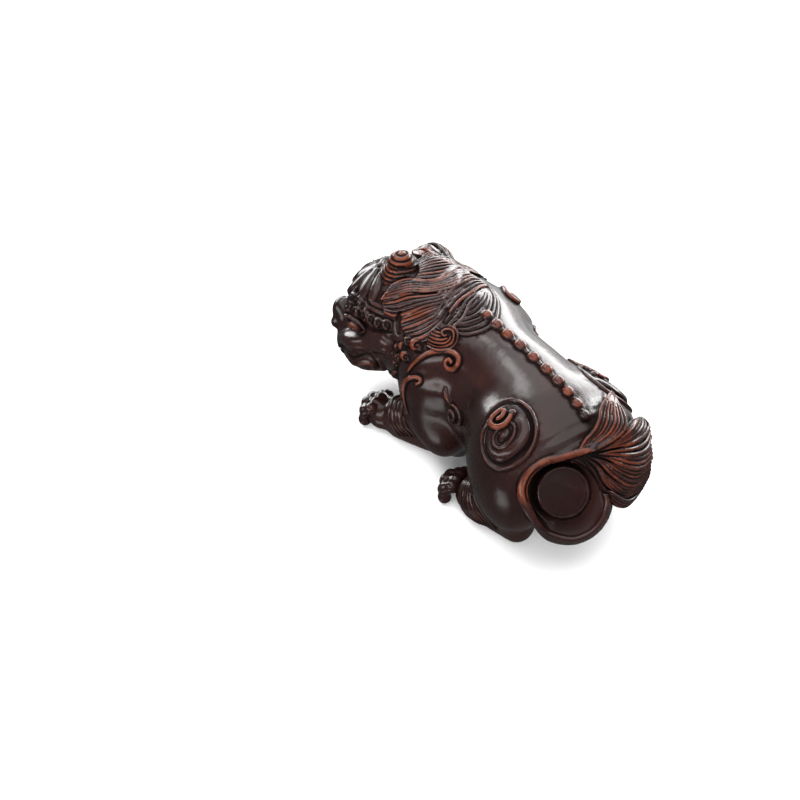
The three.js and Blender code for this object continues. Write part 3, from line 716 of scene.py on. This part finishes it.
def fur(k, edges, count, side, size):
    """Strands of fur that hug a leg from top to bottom."""
    lines = [k.clay.press(course * (side, 1, 1)) for course in between(*edges, count)]
    for places in lines:
        places = places + 0.4 * k.clay.way_out(places)
        full = size * k.random.uniform(0.85, 1.1)
        k.clay.tube(places, taper(len(places), 0.5, 0.35, full), soft=0.12,
                    rub=0.3 * k.random.uniform(0.3, 1.2))


def feet(k, side):
    toes(k, side, (side * 21.3, -34.3, 5.4), 20, 4.4)
    toes(k, side, (side * 19.2, 11.8, 4.9), 25, 3.9)
    fur(k, FORE_FUR, 6, side, 1.2)
    fur(k, HIND_FUR, 8, side, 0.85)


# The tail's coil: its middle, the way its face looks, and right and up on that face
COIL_CENTRE = np.array([10.7, 56.1, 33.2])
COIL_FACE = unit((0.38, 0.72, 0.58))
COIL_RIGHT = unit(np.cross((0, 0, 1), COIL_FACE))
COIL_UP = np.cross(COIL_FACE, COIL_RIGHT)
DISC_MIDDLE = (-0.5, 1.0)  # in the coil's plane
DISC_RADIUS = 8.2
# Radius of the coil's rim at degrees round it from its right
COIL_EDGE = [(0, 12.6), (22, 11.9), (44, 11.7), (63, 11.9), (83, 12.4), (99, 12.5), (117, 12.8),
             (132, 13.3), (146, 13.7), (161, 13.8), (174, 13.5), (186, 12.8), (202, 12.1), (226, 12.0),
             (242, 12.7), (265, 13.4), (284, 14.0), (306, 14.1), (328, 13.8), (346, 13.4), (360, 12.6)]
# The thin ridge along the hollow band's rim: degrees and radius
RIDGE = [(-158, 12.0), (-134, 11.9), (-118, 12.7), (-95, 13.3), (-76, 14.0), (-54, 14.1), (-32, 13.8),
         (-14, 13.4), (0, 12.5), (22, 11.8), (44, 11.6), (63, 11.4), (76, 10.9)]
# The rope that the band turns into: degrees, radius round the coil, its own radius and its height
ROPE = [(-112, 12.9, 0.3, -0.2), (-128, 12.3, 0.8, 0.3), (-145, 12.0, 1.2, 0.8), (-160, 12.2, 1.5, 1.1),
        (-175, 12.8, 1.65, 1.3), (-186, 13.4, 1.7, 1.4), (-199, 13.7, 1.65, 1.5), (-214, 13.6, 1.6, 1.7),
        (-228, 13.2, 1.6, 1.8), (-243, 12.8, 1.55, 1.9), (-261, 12.4, 1.5, 1.9)]
# Where the rope leaves the coil for the tuft: its places and its own radii there
ROPE_END = [(6.5, 51.6, 45.0), (3.9, 52.9, 45.6), (1.2, 54.2, 46.0), (-1.5, 55.0, 45.7), (-4.5, 55.3, 45.0)]
ROPE_END_SIZES = [1.5, 1.45, 1.3, 1.0, 0.6]


def in_coil(radius, angle, height=0.0):
    """Points of the coil, by radius and angle in its plane and height over it."""
    a = np.radians(angle)
    flat = np.multiply.outer(radius * np.cos(a), COIL_RIGHT) + np.multiply.outer(radius * np.sin(a), COIL_UP)
    return COIL_CENTRE + flat + np.multiply.outer(height, COIL_FACE)


def coil(k):
    """The tail's coil: a domed disc, a hollow band round its right and the rope that the band turns into."""
    clay = k.clay
    box, grid = clay.region(COIL_CENTRE - 26, COIL_CENTRE + 26)
    x, y, z = (g - c for g, c in zip(grid, COIL_CENTRE))
    a, b, h = (v[0] * x + v[1] * y + v[2] * z for v in (COIL_RIGHT, COIL_UP, COIL_FACE))
    r = np.hypot(a, b)
    angle = np.degrees(np.arctan2(b, a)) % 360
    edge = np.interp(angle, *zip(*COIL_EDGE))
    # 1 where the tail is a hollow band, 0 where it is a rope
    band = np.interp(angle, [0, 40, 75, 105, 200, 225, 250, 360], [1, 1, 0.35, 0, 0, 0.5, 1, 1])
    from_disc = np.hypot(a - DISC_MIDDLE[0], b - DISC_MIDDLE[1])
    away = edge - (DISC_MIDDLE[0] * a + DISC_MIDDLE[1] * b) / np.maximum(r, 1)
    share = np.clip((from_disc - DISC_RADIUS) / np.maximum(away - DISC_RADIUS, 1), 0, 1)
    disc = 0.1 + 1.2 * (1 - (from_disc / DISC_RADIUS)**2)
    disc = disc + (0.15 + 0.5 * band) * np.exp(-((from_disc - 7.7) / 0.4)**2)
    # Across the band it is a shallow dish, and beside the rope a ditch, from the disc out to the rim
    dish = -0.25 * (1 - share) - 1.1 * np.sin(math.pi * share)
    ditch = np.interp(share, [0, 0.15, 0.35, 0.6, 0.85, 1], [-0.8, -3.0, -4.3, -4.0, -1.2, 0.4])
    top = np.where(from_disc < DISC_RADIUS, disc, band * dish + (1 - band) * ditch)
    # How far the coil's side swells out, by height over its plane
    flank = np.interp(h, [-18, -12, -8, -4.5, -2, 0, 2], [-6, 0.2, 2.2, 2.7, 1.5, 0.3, -0.5])
    rim = edge + flank * (0.25 + 0.75 * band)
    d = np.maximum((h - top) * 0.6, (r - rim) * 0.8)
    over = np.maximum((top - h) * 0.6, np.maximum(r - edge + 0.8, h - 7))
    clay.cut(box, over.astype(np.float32), 0.3)
    clay.put(box, np.maximum(d, -20 - h), 0.35, 0.08)
    angles, radii = np.array(RIDGE).T
    clay.tube(in_coil(radii, angles, -0.2), 0.8, steps=8, soft=0.5, rub=0.15)
    angles, radii, sizes, heights = np.array(ROPE).T
    points = np.vstack([in_coil(radii, angles, heights), ROPE_END])
    sizes = np.concatenate([sizes, ROPE_END_SIZES])
    rub = np.interp(np.arange(len(points)), [0, 3, 7, 10, 17], [0.15, 0.25, 0.8, 0.75, 0.6])
    clay.tube(points, sizes, steps=8, soft=0.25, rub=rub)
    points = in_coil(radii[4:10] - 0.9, angles[4:10], heights[4:10] + 1.5)
    clay.tube(points, (0.2, 0.35, 0.4, 0.4, 0.35, 0.2), steps=6, carve=True)


# The tuft's leaf: its root, its outer edge from right to left, and the way its top faces
FAN_ROOT = np.array([0.5, 54.5, 46.5])
FAN_EDGE = spline([(-16.5, 38, 50), (-18.5, 43.5, 46.5), (-20.5, 48, 42), (-21, 51, 36.5), (-19, 54.5, 31.5),
                   (-14, 58, 27), (-7, 60, 24.5)], 20)
FAN_OUT = unit((-0.35, 0.55, 0.75))
FAN_MIDDLE = (FAN_ROOT + FAN_EDGE[len(FAN_EDGE) // 2]) / 2
# Locks of the tuft, from the lowest layer up: strands, lift, rub and their two edges
TUFT = [
    (3, 0.2, 0.5,
     [(3.2, 54.2, 44.6), (0.7, 58.0, 40.7), (-0.7, 60.9, 35.9), (-4.0, 62.6, 30.9), (-10, 61.6, 25),
      (-16.5, 59, 23.5), (-19.5, 57.3, 25)],
     [(3.6, 54.1, 44.4), (1.7, 57.6, 40.8), (0.1, 60.3, 36.5), (-2.1, 61.8, 30.2), (-8.6, 61.5, 23.2),
      (-16.3, 58.8, 22.4), (-19.6, 57.2, 24.6)]),
    (5, 0.3, 0.6,
     [(2.7, 54.2, 44.9), (-0.6, 57.8, 42.3), (-3.8, 60.6, 37.6), (-11.7, 60.0, 29.5), (-20.7, 57.1, 26.5)],
     [(3.1, 54.3, 44.6), (0.6, 57.8, 41.2), (-1.2, 61.0, 35.8), (-7.9, 61.0, 27.3), (-17.3, 58.8, 24.4)]),
    (5, 0.4, 0.7,
     [(2.2, 54.4, 45.1), (-2.9, 57.2, 43.3), (-7.7, 59.0, 39.5), (-15.4, 58.1, 33.6), (-23.5, 54.2, 30.5)],
     [(2.5, 54.4, 44.9), (-0.7, 57.6, 42.5), (-3.8, 60.6, 37.9), (-11.8, 59.9, 29.5), (-21.3, 56.7, 27.3)]),
    (4, 0.6, 0.8,
     [(1.5, 54.7, 45.3), (-4.9, 57.0, 43.5), (-12.7, 57.4, 40.0), (-19.3, 55.2, 36.2), (-24.6, 51.9, 34.0)],
     [(1.8, 54.7, 45.1), (-2.9, 57.2, 43.3), (-7.7, 59.0, 39.5), (-15.4, 58.1, 33.6), (-23.6, 54.1, 30.7)]),
    (3, 0.7, 0.9,
     [(1.0, 54.8, 45.5), (-6.8, 56.2, 44.5), (-13.8, 55.7, 42.8), (-20.2, 52.7, 40.0), (-25.4, 49.0, 38.5)],
     [(1.3, 54.9, 45.3), (-4.9, 57.0, 43.5), (-12.7, 57.4, 40.0), (-20.1, 54.6, 36.1),
      (-25.3, 50.5, 35.8)]),
    (5, 0.8, 0.8,
     [(0.7, 54.9, 45.7), (-4.7, 55.3, 45.8), (-10.2, 54.8, 46.3), (-14.5, 53.5, 46.1), (-18.2, 51.1, 45.4),
      (-23.0, 47.3, 42.7)],
     [(0.3, 55.3, 45.4), (-6.9, 56.1, 44.7), (-14.0, 55.4, 42.9), (-20.4, 52.4, 40.3), (-25.0, 48.9, 39.1),
      (-24.1, 47.2, 42.2)]),
    (8, 1.0, 0.75,
     [(4.2, 52.7, 45.3), (1.1, 51.7, 47.6), (-2.3, 51.2, 49.2), (-5.2, 49.7, 51.1), (-7.4, 47.4, 52.3),
      (-11.2, 44.7, 53.5), (-14.9, 42.4, 53.2)],
     [(0.3, 55.2, 45.7), (-4.9, 55.1, 46.3), (-9.8, 54.4, 46.9), (-12.8, 52.9, 47.8), (-14.2, 50.0, 49.3),
      (-15.1, 46.0, 50.7), (-16.1, 41.9, 51.7)]),
]
# What the tuft's locks lie on: share of the leaf's edge and reach from its root
TUFT_BED = [
    [(1.0, 0.05), (1.02, 0.3), (1.03, 0.6), (1.0, 0.85)],
    [(0.9, 0.06), (0.9, 0.36), (0.82, 0.66), (0.75, 0.92)],
    [(0.8, 0.07), (0.77, 0.31), (0.7, 0.6), (0.6, 0.9)],
    [(0.66, 0.05), (0.64, 0.24), (0.57, 0.48), (0.47, 0.85)],
    [(0.5, 0.05), (0.48, 0.25), (0.38, 0.5), (0.3, 0.8)],
    [(0.3, 0.05), (0.27, 0.25), (0.2, 0.45), (0.12, 0.7)],
    [(0.1, 0.05), (0.1, 0.25), (0.06, 0.45), (0.02, 0.75)],
]


def on_leaf(share, reach, lift):
    """A point of the arched leaf that the tuft's locks lie on."""
    row = np.arange(len(FAN_EDGE))
    within = np.clip(share, 0, 1)
    edge = np.array([np.interp(within * row[-1], row, FAN_EDGE[:, i]) for i in range(3)]).T
    edge = edge + np.multiply.outer(share - within, FAN_EDGE[-1] - FAN_EDGE[0])
    arch = 4.5 * np.sin(math.pi * 0.85 * np.minimum(reach, 1.1)) + lift
    return FAN_ROOT + (edge - FAN_ROOT) * reach[:, None] + np.multiply.outer(arch, FAN_OUT)


def fan_outs(points):
    """The way that strands of the tuft face at their points."""
    return unit(FAN_OUT + 0.55 * unit(points - FAN_MIDDLE))


def tuft(k):
    """The tail's tuft: a leaf covered with locks, layer over layer."""
    for course in TUFT_BED:
        share, reach = np.array(course, float).T
        points = on_leaf(share, reach, -2.6 * np.minimum(1, 3 * reach))
        k.clay.ribbon(points, (1.5, 3, 3.6, 1.6), 1.2, 6 * np.minimum(1, 2.5 * reach) * (1 - 0.4 * reach),
                      fan_outs(points), steps=6, soft=0.8, rub=0.1)
    for count, lift, rub, one, two in TUFT:
        points = between(one, two, count)
        k.strands(points, [fan_outs(p) for p in points], lift, rub)


def sculpt():
    """The finished clay."""
    bare = masses(COARSE * GRID)
    clay = bare.finer(COARSE)
    k = Carver(bare, clay)
    for side in (-1, 1):
        curls(k, side)
        haunch(k, side)
        feet(k, side)
    forehead(k)
    horn(k)
    for side in (-1, 1):
        mane(k, side)
        ear(k, side)
        face(k, side)
    spine(k)
    coil(k)
    tuft(k)
    height = clay.low[2] + clay.step * np.arange(clay.field.shape[2])
    clay.field = np.maximum(clay.field, -height[None, None, :].astype(np.float32))
    return clay


def new_mesh(name, vertices, faces):
    """A mesh of triangles or quads from arrays."""
    mesh = bpy.data.meshes.new(name)
    mesh.vertices.add(len(vertices))
    mesh.vertices.foreach_set("co", np.ascontiguousarray(vertices, np.float32).ravel())
    corners = faces.shape[1]
    mesh.loops.add(faces.size)
    mesh.loops.foreach_set("vertex_index", np.ascontiguousarray(faces, np.int32).ravel())
    mesh.polygons.add(len(faces))
    mesh.polygons.foreach_set("loop_start", np.arange(0, faces.size, corners, dtype=np.int32))
    mesh.update(calc_edges=True)
    return mesh


def add_object(name, data):
    thing = bpy.data.objects.new(name, data)
    bpy.context.scene.collection.objects.link(thing)
    return thing


def to_frame(points):
    """Metres in the frame, from the clay's mm."""
    return (points - DESIGN_MIDDLE) * NODE_SIZE / DESIGN_SIZE


def from_frame(points):
    """The clay's mm, from metres in the frame."""
    return points * DESIGN_SIZE / NODE_SIZE + DESIGN_MIDDLE


def figure():
    """The skin as one mesh, with how worn, how raised and how hollow it is at each vertex."""
    clay = sculpt()
    vertices, quads = skin_mesh(clay.field, clay.low, clay.step)
    off = clay.sample(clay.field, vertices).clip(-0.5 * GRID, 0.5 * GRID)
    vertices = vertices - clay.way_out(vertices) * off[:, None]
    rough = add_object("rough", new_mesh("rough", to_frame(vertices), quads))
    fewer = rough.modifiers.new("fewer", "DECIMATE")
    fewer.ratio = min(1.0, MOST_TRIANGLES / (2 * len(quads)))
    bpy.context.view_layer.update()
    graph = bpy.context.evaluated_depsgraph_get()
    mesh = bpy.data.meshes.new_from_object(rough.evaluated_get(graph))
    bpy.data.objects.remove(rough)
    mesh.name = "pixiu_skin"
    mesh.polygons.foreach_set("use_smooth", np.ones(len(mesh.polygons), bool))
    places = np.zeros(3 * len(mesh.vertices), np.float32)
    mesh.vertices.foreach_get("co", places)
    places = from_frame(places.reshape(-1, 3).astype(float))
    way = clay.way_out(places)
    around = sum(clay.sample(clay.field, places + s * e) for e in np.eye(3) * BEND_REACH for s in (1, -1))
    bend = (around - 6 * clay.sample(clay.field, places)) / BEND_REACH**2
    crest = np.clip(bend / FULL_CREST, 0, 1)
    # How near the other side of a gap is, a mm out of the skin
    shut = 1 - clay.sample(clay.field, places + way)
    # Low between raised shapes or beside one, where hands don't rub
    low = 1 - clay.sample(clay.field, places + HAND_GAP * way) / HAND_GAP
    # Rubbed more on crests and on what faces up, less on what faces down
    worn = clay.sample(clay.rub, places) * (0.6 + 0.4 * crest) * np.clip(0.75 + 0.5 * way[:, 2], 0.4, 1)
    worn = worn * np.clip(1.2 - 1.4 * low, 0, 1)
    # crease also darkens the lacquer's colour and gloss there, as painted shade
    for name, values in (("worn", worn), ("crest", crest), ("crease", np.maximum(shut, -bend / 2))):
        layer = mesh.attributes.new(name, "FLOAT", "POINT")
        layer.data.foreach_set("value", np.clip(values, 0, 1).astype(np.float32))
    print("skin", len(quads), "quads,", len(mesh.polygons), "triangles")
    return add_object("pixiu_cast", mesh)


LACQUER_IOR = 1.5


class Nodes:
    """A new material, and a short way to write its nodes."""

    def __init__(self, name):
        self.material = bpy.data.materials.new(name)
        self.material.use_nodes = True
        self.tree = self.material.node_tree
        self.shader = self.tree.nodes["Principled BSDF"].inputs

    def feed(self, socket, value):
        """Links a value to a socket, or sets it there."""
        if isinstance(value, bpy.types.NodeSocket):
            self.tree.links.new(value, socket)
        else:
            socket.default_value = value

    def add(self, kind, inputs=(), **settings):
        node = self.tree.nodes.new(kind)
        for key, value in settings.items():
            setattr(node, key, value)
        for key, value in dict(inputs).items():
            self.feed(node.inputs[key], value)
        return node

    def attribute(self, name):
        return self.add("ShaderNodeAttribute", attribute_name=name).outputs["Fac"]

    def math(self, operation, *values):
        return self.add("ShaderNodeMath", enumerate(values), operation=operation).outputs[0]

    def step(self, value, low, high, to_low=0.0, to_high=1.0):
        inputs = {"Value": value, "From Min": low, "From Max": high, "To Min": to_low, "To Max": to_high}
        return self.add("ShaderNodeMapRange", inputs, interpolation_type="SMOOTHSTEP").outputs[0]

    def mix(self, share, one, two):
        """Two colours mixed."""
        node = self.add("ShaderNodeMix", {0: share}, data_type="RGBA")
        self.feed(node.inputs[6], one)
        self.feed(node.inputs[7], two)
        return node.outputs[2]

    def noise(self, where, scale, detail=3.0, roughness=0.5):
        inputs = {"Vector": where, "Scale": scale, "Detail": detail, "Roughness": roughness}
        return self.add("ShaderNodeTexNoise", inputs).outputs["Fac"]


def lacquer():
    """Dark brown lacquer over red-brown casting, rubbed through on the raised carving, with painted shade
    darkening the creases.
    """
    n = Nodes("lacquered_resin")
    where = n.add("ShaderNodeTexCoord").outputs["Object"]
    # Scales of the noise are per metre
    broad = n.noise(where, 55, 2)
    patches = n.noise(where, 320, 4, 0.6)
    grain = n.noise(where, 2400, 2, 0.6)
    rub, crease, crest = (n.attribute(name) for name in ("worn", "crease", "crest"))
    # Rubbed through where the carving is raised, in patches, and never in the creases
    worn = n.math("MULTIPLY_ADD", crest, 0.1, rub)
    worn = n.math("MULTIPLY_ADD", n.math("SUBTRACT", patches, 0.5), 0.8, worn)
    worn = n.math("MULTIPLY_ADD", n.math("SUBTRACT", n.noise(where, 130, 2), 0.5), 1.1, worn)
    worn = n.math("MULTIPLY_ADD", crease, -0.9, worn)
    worn = n.step(worn, 0.2, 1.0)
    dark = n.mix(n.step(broad, 0.35, 0.7), (0.009, 0.0032, 0.0029, 1), (0.018, 0.0062, 0.0052, 1))
    bare = n.mix(patches, (0.036, 0.0075, 0.003, 1), (0.13, 0.026, 0.008, 1))
    colour = n.mix(worn, dark, bare)
    # Painted shade: the creases are darkened to near black
    colour = n.mix(n.step(crease, 0.15, 0.75), colour, (0.003, 0.0018, 0.0018, 1))
    rough = n.math("MULTIPLY_ADD", worn, 0.02, n.step(grain, 0.2, 0.8, 0.19, 0.27))
    rough = n.math("ADD", rough, n.step(crease, 0.2, 0.8, 0.0, 0.3))
    swell = n.add("ShaderNodeBump", {"Height": n.noise(where, 230, 2), "Strength": 0.25, "Distance": 0.0005})
    bump = n.add("ShaderNodeBump", {"Height": n.noise(where, 1100, 3, 0.55), "Strength": 0.18,
                                    "Distance": 0.0001, "Normal": swell.outputs[0]})
    fine = n.add("ShaderNodeBump", {"Height": grain, "Strength": 0.1, "Distance": 0.00005,
                                    "Normal": bump.outputs[0]})
    # Painted shade: the creases lose their gloss, so that they look dark
    gloss = n.step(crease, 0.05, 0.5, 0.38, 0.05)
    for name, value in (("Base Color", colour), ("Roughness", rough), ("Specular IOR Level", gloss),
                        ("Normal", fine.outputs[0]), ("IOR", LACQUER_IOR)):
        n.feed(n.shader[name], value)
    return n.material


def paper():
    """White paper, a little uneven."""
    n = Nodes("white_paper")
    where = n.add("ShaderNodeTexCoord").outputs["Object"]
    colour = n.mix(n.noise(where, 900), (0.92, 0.92, 0.92, 1), (0.96, 0.96, 0.96, 1))
    n.feed(n.shader["Base Color"], colour)
    n.feed(n.shader["Roughness"], 0.7)
    return n.material


PICTURE_SIDE = 800  # pixels
PIXELS_PER_METRE = 3050  # at the figure
FIGURE_ASIDE = 92  # pixels that the figure stands to the right of the picture's middle
SENSOR_WIDTH = 36  # mm
AZIMUTH, ELEVATION, DISTANCE = math.radians(148), math.radians(41), 0.720
AIM = [0.0, 0.0, 26.0]  # in the clay's mm


def camera():
    """The photograph's viewpoint: behind the figure's left, looking down on it."""
    back = np.array([math.sin(AZIMUTH) * math.cos(ELEVATION), -math.cos(AZIMUTH) * math.cos(ELEVATION),
                     math.sin(ELEVATION)])
    right = np.array([math.cos(AZIMUTH), math.sin(AZIMUTH), 0.0])
    up = np.cross(back, right)
    middle = to_frame(np.array(AIM))
    eye = middle - right * FIGURE_ASIDE / PIXELS_PER_METRE + back * DISTANCE
    data = bpy.data.cameras.new("camera")
    data.sensor_width = SENSOR_WIDTH
    data.lens = SENSOR_WIDTH * PIXELS_PER_METRE * DISTANCE / PICTURE_SIDE
    data.clip_end = 20
    thing = add_object("camera", data)
    thing.matrix_world = Matrix(np.vstack([np.column_stack([right, up, back, eye]), (0, 0, 0, 1)]).tolist())
    bpy.context.scene.camera = thing


# Lights: name, place, size and power. REFLECTIONS only show in the gloss, so that the figure's shadow
# stays faint, and FILLS don't show in it
REFLECTIONS = [
    ("back_softbox", (-1.05, -0.6, 0.0), (1.8, 0.5), 4),
    ("sweep", (-0.9, -0.66, -0.36), (1.5, 0.9), 2.5),
    ("window", (-1.0, -0.5, 0.4), (1.0, 0.5), 20),
    ("low_softbox", (-0.05, -1.2, 0.27), (0.9, 0.5), 15),
    ("key", (-0.55, -0.86, 0.8), (0.35, 0.25), 3),
    ("right_strip", (-1.12, 0.08, 0.36), (0.5, 0.4), 9),
    ("left_sweep", (0.74, 0.1, -0.6), (0.36, 0.28), 0.8),
    ("left_strip", (1.15, 0.0, 0.33), (1.5, 0.3), 8),
]
LAMPS = [
    ("lamp", (0.1, -0.75, 1.25), (0.3, 0.3), 2.5),
    ("front_softbox", (0.05, -0.9, 1.08), (1.2, 1.0), 2.5),
    ("ceiling", (0, -0.1, 1.6), (2.4, 2.4), 34),
    ("side", (0.84, 1.34, 1.38), (2.4, 1.8), 9),
]
FILLS = [
    ("sky", (0, 0, 2), (2.5, 2.5), 50),
    ("fill", (1.0, 1.6, 0.8), (1.4, 1.4), 55),
]
LIT_POINT = Vector((0, 0, 0.03))


def light(name, place, size, power, glossy, diffuse):
    """A rectangle of light that faces the figure."""
    data = bpy.data.lights.new(name, "AREA")
    data.shape = "RECTANGLE"
    data.size, data.size_y = size
    data.energy = power
    thing = add_object(name, data)
    thing.visible_glossy = glossy
    thing.visible_diffuse = diffuse
    thing.location = place
    thing.rotation_euler = (LIT_POINT - Vector(place)).to_track_quat("-Z", "Y").to_euler()


def stage():
    """The floor, the room's faint light and the lights."""
    corners = np.array([(-4, -4, 0), (4, -4, 0), (4, 4, 0), (-4, 4, 0)], float)
    mesh = new_mesh("floor", corners, np.array([[0, 1, 2, 3]]))
    floor = add_object("floor", mesh)
    floor.location.z = -0.0002  # just under what stands on it
    mesh.materials.append(paper())
    floor.visible_glossy = False
    world = bpy.data.worlds.new("room")
    world.use_nodes = True
    background = world.node_tree.nodes["Background"]
    background.inputs["Color"].default_value = (1, 1, 1, 1)
    background.inputs["Strength"].default_value = 0.12
    bpy.context.scene.world = world
    for lights, glossy, diffuse in ((REFLECTIONS, True, False), (LAMPS, True, True), (FILLS, False, True)):
        for row in lights:
            light(*row, glossy, diffuse)


camera()
stage()
piece = figure()
piece.data.materials.append(lacquer())
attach(piece, "root")
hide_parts("pixiu")
bpy.context.scene.view_settings.view_transform = "Standard"
